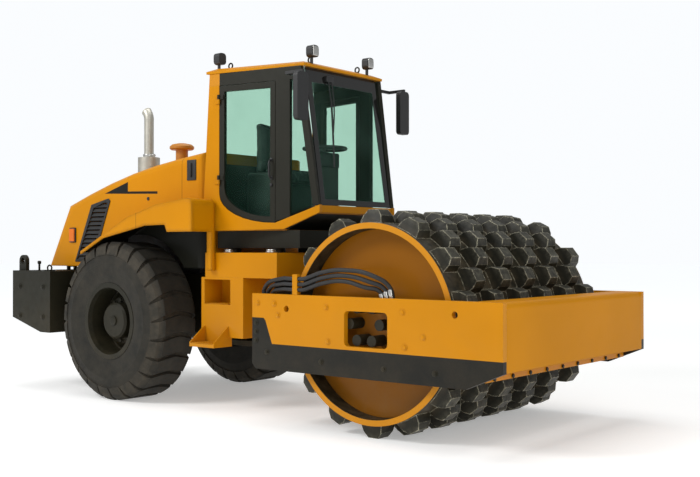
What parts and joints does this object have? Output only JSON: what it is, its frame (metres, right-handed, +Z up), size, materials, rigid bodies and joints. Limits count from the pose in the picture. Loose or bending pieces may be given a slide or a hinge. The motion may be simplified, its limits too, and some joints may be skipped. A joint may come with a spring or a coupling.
{
  "type": "padfoot road roller",
  "caption": "Articulated soil compactor: padfoot drum in a yoke frame, hinged to a tractor with glazed cab, tilting engine hood and rubber tyres.",
  "frame": {"origin": "on the ground under the middle of the overall length, on the middle plane", "axes": "+X forward to the drum, +Y to the machine's left, +Z up"},
  "size_m": [5.895, 2.3, 3.195],
  "materials": {
    "yellow_paint": "gloss",
    "black_paint": "satin",
    "engine_grey": "matte",
    "cab_glass": "clear",
    "seat_vinyl": "grained",
    "dash_plastic": "grained",
    "black_plastic": "matte",
    "bright_steel": "satin",
    "orange_plastic": "gloss",
    "lamp_orange": "gloss",
    "rubber_black": "matte",
    "drum_black": "worn",
    "drum_brown": "satin",
    "tyre": "matte",
    "chrome_rod": "polished"
  },
  "bodies": {
    "tractor": {"rear_chassis": "black_paint", "rear_bumper": "black_paint", "engine_block": "engine_grey", "rear_axle": "black_paint", "fender_right": "yellow_paint", "fender_left": "yellow_paint", "tank_right": "yellow_paint", "tank_left": "yellow_paint", "steps_right": "yellow_paint", "steps_left": "yellow_paint", "cab_platform": "black_paint", "cab_tub": "yellow_paint", "cab_posts": "black_paint", "cab_roof": "yellow_paint", "windscreen": "cab_glass", "rear_window": "cab_glass", "quarter_panes": "cab_glass", "seat": "seat_vinyl", "steering_column": "dash_plastic", "work_lamps": "black_plastic", "mirrors": "black_plastic"},
    "door_right": {"door_frame_right": "black_paint", "door_glass_right": "cab_glass"},
    "door_left": {"door_frame_left": "black_paint", "door_glass_left": "cab_glass"},
    "hood": {"hood_shell": "yellow_paint", "hood_grilles": "black_plastic", "exhaust_stack": "bright_steel", "air_cleaner": "orange_plastic", "tail_lamps": "lamp_orange"},
    "link": {"centre_link": "black_paint"},
    "drum_frame": {"side_plate_right": "yellow_paint", "side_plate_left": "yellow_paint", "front_beam": "yellow_paint", "crossbeam": "yellow_paint", "scrapers": "yellow_paint", "drum_carriers": "rubber_black", "hose_clamp": "yellow_paint", "drum_hoses": "rubber_black"},
    "drum": {"drum_shell": "drum_black", "drum_heads": "drum_brown"},
    "wheel_right": {"tyre_right": "tyre", "rim_right": "black_paint"},
    "wheel_left": {"tyre_left": "tyre", "rim_left": "black_paint"},
    "barrel_right": {"steer_barrel_right": "yellow_paint"},
    "rod_right": {"steer_rod_right": "chrome_rod"},
    "barrel_left": {"steer_barrel_left": "yellow_paint"},
    "rod_left": {"steer_rod_left": "chrome_rod"}
  },
  "joints": [
    {"name": "steering", "type": "hinge", "parent": "tractor", "child": "link", "pos_m": [0.1825, 0, 0.78], "axis": [0, 0, 1], "range_deg": [-33, 33]},
    {"name": "oscillation", "type": "hinge", "parent": "link", "child": "drum_frame", "pos_m": [0.6165, 0, 0.78], "axis": [1, 0, 0], "range_deg": [-10, 10]},
    {"name": "drum_roll", "type": "hinge", "parent": "drum_frame", "child": "drum", "pos_m": [1.7325, 0, 0.8615], "axis": [0, 1, 0], "continuous": true},
    {"name": "hood_tilt", "type": "hinge", "parent": "tractor", "child": "hood", "pos_m": [-2.8925, 0, 1.245], "axis": [0, -1, 0], "range_deg": [0, 50]},
    {"name": "wheel_right_roll", "type": "hinge", "parent": "tractor", "child": "wheel_right", "pos_m": [-1.3675, -0.82, 0.745], "axis": [0, 1, 0], "continuous": true},
    {"name": "door_right_swing", "type": "hinge", "parent": "tractor", "child": "door_right", "pos_m": [-0.22052, -0.73023, 2.3], "axis": [0, 0, -1], "range_deg": [0, 80]},
    {"name": "barrel_right_swing", "type": "hinge", "parent": "tractor", "child": "barrel_right", "pos_m": [-0.3875, -0.22, 0.78], "axis": [0, 0, 1], "range_deg": [-2, 2]},
    {"name": "rod_right_stroke", "type": "slide", "parent": "barrel_right", "child": "rod_right", "axis": [1, 0, 0], "range_m": [-0.125, 0.125]},
    {"name": "wheel_left_roll", "type": "hinge", "parent": "tractor", "child": "wheel_left", "pos_m": [-1.3675, 0.82, 0.745], "axis": [0, 1, 0], "continuous": true},
    {"name": "door_left_swing", "type": "hinge", "parent": "tractor", "child": "door_left", "pos_m": [-0.22052, 0.73023, 2.3], "axis": [0, 0, 1], "range_deg": [0, 80]},
    {"name": "barrel_left_swing", "type": "hinge", "parent": "tractor", "child": "barrel_left", "pos_m": [-0.3875, 0.22, 0.78], "axis": [0, 0, 1], "range_deg": [-2, 2]},
    {"name": "rod_left_stroke", "type": "slide", "parent": "barrel_left", "child": "rod_left", "axis": [1, 0, 0], "range_m": [-0.125, 0.125]}
  ],
  "couplings": [
    {"joint": "barrel_right_swing", "follows": "steering", "ratio": 0.05},
    {"joint": "rod_right_stroke", "follows": "steering", "m_per_rad": 0.2094},
    {"joint": "barrel_left_swing", "follows": "steering", "ratio": 0.05},
    {"joint": "rod_left_stroke", "follows": "steering", "m_per_rad": -0.2094}
  ]
}
